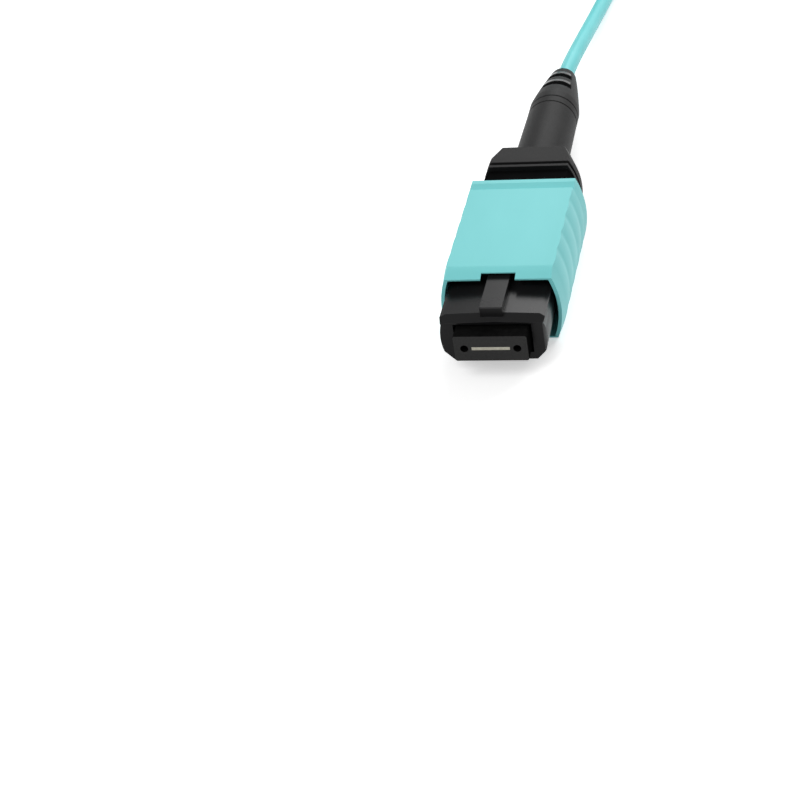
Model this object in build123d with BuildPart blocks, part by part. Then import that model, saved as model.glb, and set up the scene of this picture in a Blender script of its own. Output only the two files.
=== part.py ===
from build123d import *
import os
from math import pi, radians, tan

# Push-pull multi-fibre connector on a pigtail of round cable.
# Millimetres. The origin is the middle of the ferrule's end face, on the optical axis.
# The plug points along -Y, the cable leaves along +Y and the key is on top, towards +Z.

# Ferrule
ferrule_width = 6.4
ferrule_height = 2.5
ferrule_length = 8.0
shoulder_step_x = 0.3
shoulder_step_z = 0.25
shoulder_length = 2.0
guide_hole_pitch = 4.6
guide_hole_diameter = 0.7
fibre_count = 12
fibre_pitch = 0.25
fibre_diameter = 0.125
fibre_hole_clearance = 0.008
window_front = 2.8
window_length = 2.0
window_inset = 0.1
window_fill_gap = 0.05
throat_margin = 0.17
throat_height = 1.1
ferrule_edge = 0.12

# Ribbon and its small rubber boot
ribbon_margin = 0.03
ribbon_thickness = 0.32
ribbon_depth = 2.6
boot_depth = 2.4
boot_length = 4.0
soft_clearance = 0.02
bundle_diameter = 1.1
bundle_setback = 3.0

# Keeper behind the ferrule
keeper_inset = 0.1
keeper_length = 2.2
keeper_opening_margin = 0.1
spigot_side_gap = 0.45
spigot_top_gap = 0.05
spigot_length = 0.7

# Travel of the two sliding groups
ferrule_travel = 1.0
sleeve_travel = 2.5
stop_gap = 0.02

# Inner housing
ferrule_proud = 1.5
bore_clearance = 0.2
cavity_clearance = 0.1
nose_length = 8.5
nose_skin = 0.9
nose_wall = 1.0
nose_brim_chamfer = 0.5
nose_top_fall = 0.12
nose_brim_drop = 0.28
nose_under_brim = 0.72
nose_waist_inset = 0.14
nose_mid_bulge = 0.04
nose_foot_inset = 0.95
nose_foot_rise = 0.85
nose_bevel_length = 0.8
nose_bevel_drop = 0.45
nose_lead_in = 0.25
catch_length = 2.2
catch_depth = 0.35
catch_height = 2.2
key_width = 1.95
key_height = 0.75
key_setback = 0.4
key_bevel = 0.08
guide_clearance = 0.08
guide_skin = 1.27
channel_wall = 0.27
channel_depth = 1.05
channel_height = 1.25
channel_start = 2.0
channel_end_wall = 3.4

# Coupling sleeve
sleeve_setback = 4.5
sleeve_length = 16.0
sleeve_bow = 0.72
sleeve_wall = 0.5
sleeve_corner_wall = 0.35
sleeve_lip_wall = 0.15
sleeve_bevel_length = 1.4
sleeve_side_bevel = 0.1
lobe_count = 5
lobe_depth = 0.1
lobe_margin = 0.9
notch_width = 3.05
notch_depth = 0.75
notch_cut = 2.0
rear_lip_length = 0.75
rear_groove_length = 0.5
rear_groove_depth = 0.22
rib_length = 0.9
rib_height = 0.95
dimple_diameter = 0.6
dimple_depth = 0.15
dimple_setback = 2.4

# Springs
ferrule_spring_wire = 0.45
ferrule_spring_side_gap = 0.45
ferrule_spring_top_gap = 0.225
ferrule_spring_length = 7.6
ferrule_spring_turns = 6
spring_corner_share = 0.95
return_spring_wire = 0.18
return_spring_diameter = 0.98
return_spring_turns = 11
spring_end_gap = 0.03

# Spring push, the rear body that closes the housing
push_clearance = 0.08
tab_width = 2.2
tab_length = 1.0
tab_proud = 0.6
tab_setback = 2.0
arm_slit = 0.3
arm_length = 3.4
neck_gap = 2.6
neck_lap = 0.4
plate_length = 0.4
seam_gap = 0.25
hub_side_inset = 1.45
hub_top_inset = 1.1
hub_length = 1.6
post_diameter = 3.4
post_bore = 2.1
post_length = 7.6

# Crimp sleeve and yarn
yarn_thickness = 0.12
crimp_wall = 0.2
crimp_front_gap = 0.3
crimp_step = 0.8
crimp_grip_length = 2.4
crimp_fit = 0.01

# Strain-relief boot
flange_length = 2.95
flange_taper_length = 1.9
flange_rise = 0.15
flange_inset = 0.92
flange_bow = 0.9
flange_taper = 0.75
stem_diameter = 5.2
stem_end_diameter = 4.9
stem_length = 12.3
tip_length = 6.9
tip_diameter = 2.64
tip_round = 0.3
ring_width = 0.16
ring_depth = 0.07
ring_spacing = 1.1
ring_setback = 0.82
slot_width = 1.0
slot_spacing = 2.3
slot_setback = 1.75
slot_angle = 150
boot_fit = 0.06

# Cable, its hank and the tie round the hank
cable_diameter = 1.6
cable_length = 1000.0
lead_inset = 4.0
lead_exit_length = 1.0
lead_route = [(0.72, 9.4, -0.8), (0.98, 16.2, -1.85), (1.5, 23.1, -2.4)]
lead_rest_x = 2.1
lead_rest_setback = 30.0
lead_end_x = 2.4
lead_end_setbacks = [35.4, 39.0]
bend_share = 0.45
hank_setback = 31.5
hank_fold_radius = 4.8
hank_run = 30.0
hank_columns = 2
hank_corner = 0.75
tie_thickness = 0.3
tie_width = 4.0
tie_gap = 0.05
tie_corner = 1.2

# Widths that pieces share
shoulder_width = ferrule_width + 2 * shoulder_step_x
shoulder_height = ferrule_height + 2 * shoulder_step_z
ribbon_width = fibre_count * fibre_pitch + 2 * ribbon_margin
throat_width = ribbon_width + 2 * throat_margin
window_width = throat_width - 2 * window_inset
keeper_width = shoulder_width - 2 * keeper_inset
keeper_height = shoulder_height - 2 * keeper_inset
keeper_opening_width = throat_width + 2 * keeper_opening_margin
keeper_opening_height = throat_height + 2 * keeper_opening_margin
cavity_width = shoulder_width + 2 * cavity_clearance
cavity_height = shoulder_height + 2 * cavity_clearance
ferrule_spring_width = cavity_width - 2 * ferrule_spring_side_gap
ferrule_spring_height = cavity_height - 2 * ferrule_spring_top_gap
spigot_width = ferrule_spring_width - 2 * (ferrule_spring_wire + spigot_side_gap)
spigot_height = ferrule_spring_height - 2 * (ferrule_spring_wire + spigot_top_gap)
nose_height = ferrule_height + 2 * nose_skin
nose_brim_width = cavity_width + 2 * nose_wall
nose_top_width = nose_brim_width - 2 * nose_brim_chamfer
nose_waist_width = nose_brim_width - 2 * nose_waist_inset
nose_mid_width = nose_brim_width + 2 * nose_mid_bulge
nose_foot_width = nose_brim_width - 2 * nose_foot_inset
channel_floor = cavity_width / 2 + channel_wall
guide_width = 2 * (channel_floor + channel_depth)
guide_height = cavity_height + 2 * guide_skin
sleeve_bore_width = guide_width + 2 * guide_clearance
sleeve_bore_height = guide_height + 2 * guide_clearance
sleeve_width = sleeve_bore_width + 2 * sleeve_wall
sleeve_height = sleeve_bore_height + 2 * sleeve_wall
sleeve_top_width = sleeve_width - 2 * sleeve_bow
sleeve_bore_top = sleeve_top_width - 2 * sleeve_corner_wall
guide_top = sleeve_bore_top - 2 * guide_clearance
flange_width = sleeve_width - 2 * flange_inset
flange_height = sleeve_height - 2 * flange_rise
flange_top_width = flange_width - 2 * flange_bow
hub_width = flange_width - 2 * hub_side_inset
hub_height = flange_height - 2 * hub_top_inset
push_width = cavity_width - 2 * push_clearance
push_height = cavity_height - 2 * push_clearance
yarn_diameter = post_diameter + 2 * yarn_thickness
crimp_diameter = yarn_diameter + 2 * crimp_wall
grip_diameter = cable_diameter + 2 * crimp_wall
fibre_hole_diameter = fibre_diameter + 2 * fibre_hole_clearance

# Stations along the axis
nose_front = ferrule_proud
ledge = ferrule_length - shoulder_length - stop_gap
sleeve_front = nose_front + sleeve_setback
sleeve_rear = sleeve_front + sleeve_length
guide_front = nose_front + nose_length
channel_front = guide_front + channel_start
housing_rear = sleeve_rear + neck_gap
channel_rear = housing_rear - channel_end_wall
ribbon_front = ferrule_length - ribbon_depth
boot_front = ferrule_length - boot_depth
keeper_front = ferrule_length
keeper_rear = keeper_front + keeper_length
push_front = keeper_rear + ferrule_spring_length + 2 * spring_end_gap
plate_rear = housing_rear + plate_length
bundle_front = plate_rear + bundle_setback
flange_front = plate_rear + seam_gap
flange_rear = flange_front + flange_length
stem_rear = flange_rear + stem_length
boot_rear = stem_rear + tip_length
hub_rear = plate_rear + hub_length
post_rear = plate_rear + post_length
jacket_front = post_rear + crimp_step
floor = -sleeve_height / 2

os.makedirs("parts", exist_ok=True)


# A plane across the axis, seen from the cable's end, so that a positive extrusion runs back
def across(y):
    return Plane(origin=(0, y, 0), x_dir=(-1, 0, 0), z_dir=(0, 1, 0))


# Flat top and bottom joined by bowed sides
def bowed_section(top_width, mid_width, height):
    with BuildSketch(mode=Mode.PRIVATE) as section:
        with BuildLine():
            Line((-top_width / 2, height / 2), (top_width / 2, height / 2))
            ThreePointArc((top_width / 2, height / 2), (mid_width / 2, 0), (top_width / 2, -height / 2))
            Line((top_width / 2, -height / 2), (-top_width / 2, -height / 2))
            ThreePointArc((-top_width / 2, -height / 2), (-mid_width / 2, 0), (-top_width / 2, height / 2))
        make_face()
    return section.sketch


# Ferrule: guide holes right through, fibre holes to the window, a throat for the ribbon behind
with BuildPart() as ferrule:
    with BuildSketch(across(0)):
        Rectangle(ferrule_width, ferrule_height)
    extrude(amount=ferrule_length)
    chamfer(ferrule.edges().filter_by(Axis.Y), ferrule_edge)
    with BuildSketch(across(ferrule_length - shoulder_length)):
        Rectangle(shoulder_width, shoulder_height)
    extrude(amount=shoulder_length)
    with BuildSketch(across(window_front)):
        Rectangle(throat_width, throat_height)
    extrude(amount=ferrule_length - window_front, mode=Mode.SUBTRACT)
    with BuildSketch(Plane.XY):
        with Locations((0, window_front + window_length / 2)):
            Rectangle(window_width, window_length)
    extrude(amount=ferrule_height, mode=Mode.SUBTRACT)
    with BuildSketch(across(0)):
        with GridLocations(guide_hole_pitch, 0, 2, 1):
            Circle(guide_hole_diameter / 2)
    extrude(amount=ferrule_length, mode=Mode.SUBTRACT)
    with BuildSketch(across(0)):
        with GridLocations(fibre_pitch, 0, fibre_count, 1):
            Circle(fibre_hole_diameter / 2)
    extrude(amount=window_front, mode=Mode.SUBTRACT)
ferrule.part.label = "ferrule"
export_step(ferrule.part, "parts/ferrule.step")

# Bare fibres, polished flush with the end face
with BuildPart() as bare_fibres:
    with BuildSketch(across(0)):
        with GridLocations(fibre_pitch, 0, fibre_count, 1):
            Circle(fibre_diameter / 2)
    extrude(amount=ribbon_front)
bare_fibres.part.label = "bare_fibres"
export_step(bare_fibres.part, "parts/bare_fibres.step")

# Cured adhesive that fills the ferrule's window above the fibres
with BuildPart() as window_adhesive:
    with BuildSketch(Plane.XY.offset(fibre_diameter)):
        with Locations((0, window_front + window_length / 2)):
            Rectangle(window_width - 2 * window_fill_gap, window_length - 2 * window_fill_gap)
    extrude(amount=ferrule_height / 2 - window_fill_gap - fibre_diameter)
window_adhesive.part.label = "window_adhesive"
export_step(window_adhesive.part, "parts/window_adhesive.step")

# Rubber boot that steadies the ribbon in the ferrule's throat
with BuildPart() as ferrule_boot:
    with BuildSketch(across(boot_front)):
        Rectangle(throat_width - 2 * soft_clearance, throat_height - 2 * soft_clearance)
        slit_height = ribbon_thickness + 2 * soft_clearance
        Rectangle(ribbon_width + 2 * soft_clearance, slit_height, mode=Mode.SUBTRACT)
    extrude(amount=boot_length)
ferrule_boot.part.label = "ferrule_boot"
export_step(ferrule_boot.part, "parts/ferrule_boot.step")

# Ribbon of coated fibres, gathered into a round bundle where it enters the cable
with BuildPart() as fibre_ribbon:
    with BuildSketch(across(ribbon_front)):
        Rectangle(ribbon_width, ribbon_thickness)
    extrude(amount=bundle_front - ribbon_front - crimp_step)
    with BuildSketch(across(bundle_front - crimp_step)):
        Rectangle(ribbon_width, ribbon_thickness)
    with BuildSketch(across(bundle_front)):
        Circle(bundle_diameter / 2)
    loft()
    with BuildSketch(across(bundle_front)):
        Circle(bundle_diameter / 2)
    extrude(amount=jacket_front - bundle_front)
fibre_ribbon.part.label = "fibre_ribbon"
export_step(fibre_ribbon.part, "parts/fibre_ribbon.step")

# Keeper: carries the guide pins of the other gender, and its spigot centres the spring
with BuildPart() as pin_keeper:
    with BuildSketch(across(keeper_front)):
        Rectangle(keeper_width, keeper_height)
        with GridLocations(guide_hole_pitch, 0, 2, 1):
            Circle(guide_hole_diameter / 2, mode=Mode.SUBTRACT)
    extrude(amount=keeper_length)
    chamfer(pin_keeper.edges().filter_by(Axis.Y).filter_by(GeomType.LINE), ferrule_edge)
    with BuildSketch(across(keeper_rear)):
        SlotOverall(spigot_width, spigot_height)
    extrude(amount=spigot_length)
    with BuildSketch(across(keeper_front)):
        Rectangle(keeper_opening_width, keeper_opening_height)
    extrude(amount=keeper_length + spigot_length, mode=Mode.SUBTRACT)
pin_keeper.part.label = "pin_keeper"
export_step(pin_keeper.part, "parts/pin_keeper.step")

# Oval ferrule spring: four corners a turn, rising evenly along the wire
spring_half_width = (ferrule_spring_width - ferrule_spring_wire) / 2
spring_half_height = (ferrule_spring_height - ferrule_spring_wire) / 2
spring_rise = (ferrule_spring_length - ferrule_spring_wire) / ferrule_spring_turns
spring_start = keeper_rear + spring_end_gap + ferrule_spring_wire / 2
long_share = spring_half_width / (spring_half_width + spring_half_height) / 2
corner_shares = [0, long_share, 0.5, 0.5 + long_share]
corner_sides = [(-1, 1), (1, 1), (1, -1), (-1, -1)]
spring_points = []
for turn in range(ferrule_spring_turns):
    for share, (side_x, side_z) in zip(corner_shares, corner_sides):
        y = spring_start + spring_rise * (turn + share)
        spring_points.append((side_x * spring_half_width, y, side_z * spring_half_height))
last_y = spring_start + spring_rise * ferrule_spring_turns
spring_points.append((-spring_half_width, last_y, spring_half_height))
with BuildPart() as ferrule_spring:
    with BuildLine() as spring_path:
        FilletPolyline(*spring_points, radius=spring_corner_share * spring_half_height)
    with BuildSketch(Plane(origin=spring_path.line @ 0, z_dir=spring_path.line % 0)):
        Circle(ferrule_spring_wire / 2)
    sweep()
ferrule_spring.part.label = "ferrule_spring"
export_step(ferrule_spring.part, "parts/ferrule_spring.step")

# Inner housing: keyed nose in front, wider guide body behind, open right through
nose_half = nose_height / 2
with BuildPart() as inner_housing:
    with BuildSketch(across(nose_front)):
        with BuildLine():
            top = Line((0, nose_half), (key_width / 2, nose_half))
            panel = Line(top @ 1, (nose_top_width / 2, nose_half - nose_top_fall))
            brim = Line(panel @ 1, (nose_brim_width / 2, nose_half - nose_brim_drop))
            under = Line(brim @ 1, (nose_waist_width / 2, nose_half - nose_under_brim))
            foot_z = nose_foot_rise - nose_half
            side = ThreePointArc(under @ 1, (nose_mid_width / 2, 0), (nose_waist_width / 2, foot_z))
            Line(side @ 1, (nose_foot_width / 2, -nose_half))
            Line((nose_foot_width / 2, -nose_half), (0, -nose_half))
            mirror(about=Plane.YZ)
        make_face()
    extrude(amount=nose_length)
    # Lead-in on the nose: a long bevel that follows each top panel and a short one on each side
    panel_slope = 2 * nose_top_fall / (nose_top_width - key_width)
    ridge = nose_half + panel_slope * key_width / 2
    for side in (-1, 1):
        with BuildSketch(Plane.YZ):
            with BuildLine():
                Polyline(
                    (nose_front, ridge - nose_bevel_drop),
                    (nose_front + nose_bevel_length, ridge),
                    (nose_front, ridge),
                    close=True,
                )
            make_face()
        extrude(amount=nose_brim_width, dir=(side, 0, -panel_slope), mode=Mode.SUBTRACT)
    with BuildSketch(Plane.XY):
        with BuildLine():
            Polyline(
                (nose_mid_width / 2 - nose_lead_in, nose_front),
                (nose_mid_width / 2 + nose_lead_in, nose_front + 4 * nose_lead_in),
                (nose_mid_width / 2 + nose_lead_in, nose_front),
                close=True,
            )
            mirror(about=Plane.YZ)
        make_face()
    extrude(amount=nose_height, both=True, mode=Mode.SUBTRACT)
    # Guide body that the sleeve runs on
    with BuildSketch(across(guide_front)):
        add(bowed_section(guide_top, guide_width, guide_height))
    extrude(amount=sleeve_rear - neck_lap - guide_front)
    # Narrower neck that meets the rear plate
    with BuildSketch(across(sleeve_rear - neck_lap)):
        add(bowed_section(flange_top_width, flange_width, guide_height))
    extrude(amount=housing_rear - sleeve_rear + neck_lap)
    # Key
    with BuildSketch(Plane.YZ):
        with BuildLine():
            key_front = nose_front + key_setback
            key_top = nose_half + key_height
            Polyline(
                (key_front, nose_half - nose_bevel_drop),
                (key_front, key_top - key_bevel),
                (key_front + key_bevel, key_top),
                (guide_front, key_top),
                (guide_front, nose_half - nose_bevel_drop),
                close=True,
            )
        make_face()
    extrude(amount=key_width / 2, both=True)
    # Ferrule bore, cavity and the ledge between them
    with BuildSketch(across(nose_front)):
        Rectangle(ferrule_width + 2 * bore_clearance, ferrule_height + 2 * bore_clearance)
    extrude(amount=ledge - nose_front, mode=Mode.SUBTRACT)
    with BuildSketch(across(ledge)):
        Rectangle(cavity_width, cavity_height)
    extrude(amount=housing_rear - ledge, mode=Mode.SUBTRACT)
    # Catches for the adapter's hooks, and the channels of the return springs
    for side in (-1, 1):
        with Locations((side * (nose_mid_width / 2 - catch_depth), guide_front - catch_length, 0)):
            outward = (Align.MIN if side > 0 else Align.MAX, Align.MIN, Align.CENTER)
            Box(nose_mid_width, catch_length, catch_height, align=outward, mode=Mode.SUBTRACT)
        with Locations((side * channel_floor, channel_front, 0)):
            channel_size = (guide_width, channel_rear - channel_front, channel_height)
            Box(*channel_size, align=outward, mode=Mode.SUBTRACT)
    # Windows over and under the cavity for the latch tabs of the spring push
    window_size = (tab_width + 2 * arm_slit, tab_length + 2 * push_clearance, guide_height)
    with Locations((0, push_front + tab_setback + tab_length / 2, 0)):
        Box(*window_size, mode=Mode.SUBTRACT)
inner_housing.part.label = "inner_housing"
export_step(inner_housing.part, "parts/inner_housing.step")

# Coupling sleeve: the overlap of two turned, lobed forms, cut flat above and below
sleeve_sagitta = (sleeve_width - sleeve_top_width) / 2
side_radius = (sleeve_height**2 / 4 + sleeve_sagitta**2) / (2 * sleeve_sagitta)
side_centre = sleeve_width / 2 - side_radius
bevel_drop = sleeve_wall - sleeve_lip_wall
lobe_front = sleeve_front + sleeve_bevel_length
lobe_pitch = (sleeve_rear - lobe_margin - lobe_front) / lobe_count
valley_radius = side_radius - lobe_depth
half_height = sleeve_height / 2
lip_z = half_height - bevel_drop
groove_z = half_height - rear_groove_depth
groove_rear = sleeve_rear - rear_lip_length
groove_front = groove_rear - rear_groove_length
with BuildPart() as coupling_sleeve:
    for side, blend in ((1, Mode.ADD), (-1, Mode.INTERSECT)):
        axis_x = side * side_centre
        with BuildSketch(Plane.XY):
            with BuildLine():
                rim_radius = valley_radius - sleeve_side_bevel
                Line((axis_x, sleeve_front), (axis_x + side * rim_radius, sleeve_front))
                Line(
                    (axis_x + side * rim_radius, sleeve_front),
                    (axis_x + side * valley_radius, lobe_front),
                )
                for lobe in range(lobe_count):
                    lobe_y = lobe_front + lobe * lobe_pitch
                    ThreePointArc(
                        (axis_x + side * valley_radius, lobe_y),
                        (axis_x + side * side_radius, lobe_y + lobe_pitch / 2),
                        (axis_x + side * valley_radius, lobe_y + lobe_pitch),
                    )
                Polyline(
                    (axis_x + side * valley_radius, sleeve_rear - lobe_margin),
                    (axis_x + side * valley_radius, groove_rear),
                    (axis_x + side * side_radius, groove_rear + rear_groove_depth),
                    (axis_x + side * side_radius, sleeve_rear),
                    (axis_x, sleeve_rear),
                    (axis_x, sleeve_front),
                )
            make_face()
        revolve(axis=Axis((axis_x, 0, 0), (0, 1, 0)), mode=blend)
    with BuildSketch(Plane.YZ):
        with BuildLine():
            Polyline(
                (sleeve_front, 0),
                (sleeve_front, lip_z),
                (lobe_front, half_height),
                (groove_front, half_height),
                (groove_front, groove_z),
                (groove_rear, groove_z),
                (groove_rear + rear_groove_depth, half_height),
                (sleeve_rear, half_height),
                (sleeve_rear, 0),
            )
            mirror(about=Plane.XZ)
        make_face()
    extrude(amount=sleeve_width, both=True, mode=Mode.INTERSECT)
    with BuildSketch(across(sleeve_front)):
        add(bowed_section(sleeve_bore_top, sleeve_bore_width, sleeve_bore_height))
    extrude(amount=sleeve_length, mode=Mode.SUBTRACT)
    # Ribs inside that the return springs push on
    for side in (-1, 1):
        rib_depth = sleeve_bore_width / 2 - channel_floor - guide_clearance + sleeve_wall / 2
        rib_align = (Align.MIN if side > 0 else Align.MAX, Align.MIN, Align.CENTER)
        with Locations((side * (channel_floor + guide_clearance), channel_front + stop_gap, 0)):
            Box(rib_depth, rib_length, rib_height, align=rib_align)
    # Notch over the key, and a dimple on each side
    with Locations((0, sleeve_front, half_height)):
        notch_align = (Align.CENTER, Align.MIN, Align.CENTER)
        Box(notch_width, notch_depth, notch_cut, align=notch_align, mode=Mode.SUBTRACT)
    for side in (-1, 1):
        dimple_x = side * (sleeve_width / 2 - lobe_depth - dimple_depth)
        with Locations(Location((dimple_x, sleeve_front + dimple_setback, 0), (0, 90, 0))):
            dimple_align = (Align.CENTER, Align.CENTER, Align.MIN if side > 0 else Align.MAX)
            Cylinder(dimple_diameter / 2, sleeve_wall, align=dimple_align, mode=Mode.SUBTRACT)
coupling_sleeve.part.label = "coupling_sleeve"
export_step(coupling_sleeve.part, "parts/coupling_sleeve.step")

# Return springs in the side channels, between the sleeve's ribs and the channels' ends
return_front = channel_front + stop_gap + rib_length + spring_end_gap
return_length = channel_rear - spring_end_gap - return_front
return_radius = (return_spring_diameter - return_spring_wire) / 2
return_height = return_length - return_spring_wire
return_pitch = return_height / return_spring_turns
spring_x = (channel_floor + guide_width / 2) / 2
for name, side in (("left", -1), ("right", 1)):
    start = (side * spring_x, return_front + return_spring_wire / 2, 0)
    with BuildPart() as return_spring:
        with BuildLine() as coil_path:
            Helix(return_pitch, return_height, return_radius, center=start, direction=(0, 1, 0))
        with BuildSketch(Plane(origin=coil_path.line @ 0, z_dir=coil_path.line % 0)):
            Circle(return_spring_wire / 2)
        sweep(is_frenet=True)
    return_spring.part.label = name + "_return_spring"
    export_step(return_spring.part, "parts/" + name + "_return_spring.step")

# Spring push: seat, latch arms, rear plate, hub for the boot and the crimp post
with BuildPart() as spring_push:
    with BuildSketch(across(push_front)):
        Rectangle(push_width, push_height)
    extrude(amount=housing_rear - push_front)
    with BuildSketch(across(push_front - spigot_length)):
        SlotOverall(spigot_width, spigot_height)
    extrude(amount=spigot_length)
    with BuildSketch(Plane.YZ):
        with BuildLine():
            tab_front = push_front + tab_setback
            Polyline(
                (tab_front, push_height / 2 - tab_proud),
                (tab_front, push_height / 2),
                (tab_front + tab_length, push_height / 2 + tab_proud),
                (tab_front + tab_length, push_height / 2 - tab_proud),
                close=True,
            )
            mirror(about=Plane.XZ)
        make_face()
    extrude(amount=tab_width / 2, both=True)
    with Locations((0, push_front, 0)):
        with GridLocations(tab_width + arm_slit, 0, 2, 1):
            slit_align = (Align.CENTER, Align.MIN, Align.CENTER)
            Box(arm_slit, arm_length, 2 * push_height, align=slit_align, mode=Mode.SUBTRACT)
    with BuildSketch(across(housing_rear)):
        add(bowed_section(flange_top_width, flange_width, flange_height))
    extrude(amount=plate_length)
    with BuildSketch(across(plate_rear)):
        Rectangle(hub_width, hub_height)
    extrude(amount=hub_length)
    with BuildSketch(across(plate_rear)):
        Circle(post_diameter / 2)
    extrude(amount=post_length)
    with BuildSketch(across(push_front - spigot_length)):
        Rectangle(keeper_opening_width, keeper_opening_height)
    extrude(amount=bundle_front - push_front + spigot_length, mode=Mode.SUBTRACT)
    with BuildSketch(across(bundle_front - crimp_step)):
        Circle(post_bore / 2)
    extrude(amount=post_rear - bundle_front + crimp_step, mode=Mode.SUBTRACT)
spring_push.part.label = "spring_push"
export_step(spring_push.part, "parts/spring_push.step")

# Strength yarn folded back over the post
with BuildPart() as aramid_yarn:
    with BuildSketch(across(hub_rear + crimp_front_gap)):
        Circle(yarn_diameter / 2 - crimp_fit)
        Circle(post_diameter / 2 + crimp_fit, mode=Mode.SUBTRACT)
    extrude(amount=post_rear - hub_rear - crimp_front_gap)
aramid_yarn.part.label = "aramid_yarn"
export_step(aramid_yarn.part, "parts/aramid_yarn.step")

# Stepped crimp sleeve: the wide end grips the yarn, the narrow end the cable's jacket
with BuildPart() as crimp_sleeve:
    with BuildSketch(Plane.XY):
        with BuildLine():
            Polyline(
                (yarn_diameter / 2, hub_rear + crimp_front_gap),
                (crimp_diameter / 2, hub_rear + crimp_front_gap),
                (crimp_diameter / 2, post_rear + crimp_wall),
                (grip_diameter / 2, jacket_front),
                (grip_diameter / 2, jacket_front + crimp_grip_length),
                (cable_diameter / 2 + crimp_fit, jacket_front + crimp_grip_length),
                (cable_diameter / 2 + crimp_fit, jacket_front - crimp_wall),
                (yarn_diameter / 2, post_rear),
                close=True,
            )
        make_face()
    revolve(axis=Axis.Y)
crimp_sleeve.part.label = "crimp_sleeve"
export_step(crimp_sleeve.part, "parts/crimp_sleeve.step")

# Strain-relief boot: flange, stem and slotted tip in one moulding
taper_front = flange_rear - flange_taper_length
stem_radius = stem_diameter / 2
stem_end_radius = stem_end_diameter / 2
tip_radius = tip_diameter / 2
bore_radius = cable_diameter / 2 + boot_fit
with BuildPart() as strain_relief_boot:
    with BuildSketch(across(flange_front)):
        add(bowed_section(flange_top_width, flange_width, flange_height))
    extrude(amount=taper_front - flange_front)
    with BuildSketch(across(taper_front)):
        add(bowed_section(flange_top_width, flange_width, flange_height))
    with BuildSketch(across(flange_rear)):
        rear_top_width = flange_top_width - 2 * flange_taper
        rear_width = flange_width - 2 * flange_taper
        add(bowed_section(rear_top_width, rear_width, flange_height))
    loft()
    with BuildSketch(Plane.XY):
        with BuildLine():
            rear_ring = stem_rear - ring_setback
            front_ring = rear_ring - ring_spacing
            tip_end = (tip_radius - tip_round, boot_rear)
            Polyline(
                (0, taper_front),
                (stem_radius, taper_front),
                (stem_radius, flange_rear),
                (stem_end_radius, front_ring - ring_width),
                (stem_end_radius - ring_depth, front_ring - ring_width / 2),
                (stem_end_radius, front_ring),
                (stem_end_radius, rear_ring - ring_width),
                (stem_end_radius - ring_depth, rear_ring - ring_width / 2),
                (stem_end_radius, rear_ring),
                (stem_end_radius, stem_rear),
                (tip_radius, boot_rear - tip_round),
            )
            Polyline((tip_radius, boot_rear - tip_round), tip_end, (0, boot_rear), (0, taper_front))
        make_face()
    revolve(axis=Axis.Y)
    # Bores for the hub, the crimp sleeve and the cable
    with BuildSketch(across(flange_front)):
        Rectangle(hub_width + 2 * boot_fit, hub_height + 2 * boot_fit)
    extrude(amount=hub_rear - flange_front + boot_fit, mode=Mode.SUBTRACT)
    with BuildSketch(Plane.XY):
        with BuildLine():
            Polyline(
                (0, flange_front),
                (crimp_diameter / 2 + boot_fit, flange_front),
                (crimp_diameter / 2 + boot_fit, post_rear + crimp_wall + boot_fit),
                (grip_diameter / 2 + boot_fit, jacket_front + boot_fit),
                (grip_diameter / 2 + boot_fit, jacket_front + crimp_grip_length + boot_fit),
                (bore_radius, jacket_front + crimp_grip_length + boot_fit),
                (bore_radius, boot_rear),
                (0, boot_rear),
                close=True,
            )
        make_face()
    revolve(axis=Axis.Y, mode=Mode.SUBTRACT)
    # Two rows of slots that let the tip bend, each open over the top and under the bottom
    for row in range(2):
        slot_rear = boot_rear - slot_setback - row * slot_spacing
        for turn in (0, 180):
            start_plane = Plane.XY.rotated((0, turn - 90 - slot_angle / 2, 0))
            with BuildSketch(start_plane):
                with Locations((stem_radius / 2, slot_rear - slot_width / 2)):
                    Rectangle(stem_radius, slot_width)
            revolve(axis=Axis.Y, revolution_arc=slot_angle, mode=Mode.SUBTRACT)
strain_relief_boot.part.label = "strain_relief_boot"
export_step(strain_relief_boot.part, "parts/strain_relief_boot.step")

# Cable inside the boot, from the crimp into the slotted tip
with BuildPart() as cable_stub:
    with BuildSketch(across(jacket_front)):
        Circle(cable_diameter / 2)
    extrude(amount=boot_rear - lead_inset - jacket_front)
cable_stub.part.label = "cable_stub"
export_step(cable_stub.part, "parts/cable_stub.step")

# Free cable: out of the boot, down to the surface and along it to the hank's outer turn
hank_bottom = floor + tie_thickness + tie_gap
lead_points = [(0, boot_rear - lead_inset, 0), (0, boot_rear + lead_exit_length, 0)]
for x, setback, z in lead_route:
    lead_points.append((x, boot_rear + setback, z))
lead_points.append((lead_rest_x, boot_rear + lead_rest_setback, floor + cable_diameter / 2))
for setback in lead_end_setbacks:
    lead_points.append((lead_end_x, boot_rear + setback, hank_bottom + cable_diameter / 2))
runs = [Vector(*end) - Vector(*start) for start, end in zip(lead_points, lead_points[1:])]
bend_radii = []
for before, after in zip(runs, runs[1:]):
    half_turn = radians(before.get_angle(after)) / 2
    bend_radii.append(bend_share * min(before.length, after.length) / tan(half_turn))
print("cable bend radii", [round(radius, 1) for radius in bend_radii])
with BuildPart() as cable_lead:
    with BuildLine() as lead_path:
        FilletPolyline(*lead_points, radius=bend_radii)
    with BuildSketch(Plane(origin=lead_path.line @ 0, z_dir=lead_path.line % 0)):
        Circle(cable_diameter / 2)
    sweep()
lead_length = sum(edge.length for edge in lead_path.edges())
lead_volume = pi * cable_diameter**2 / 4 * lead_length
print("lead volume", round(cable_lead.part.volume, 2), "section times length", round(lead_volume, 2))
cable_lead.part.label = "cable_lead"
export_step(cable_lead.part, "parts/cable_lead.step")

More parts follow.
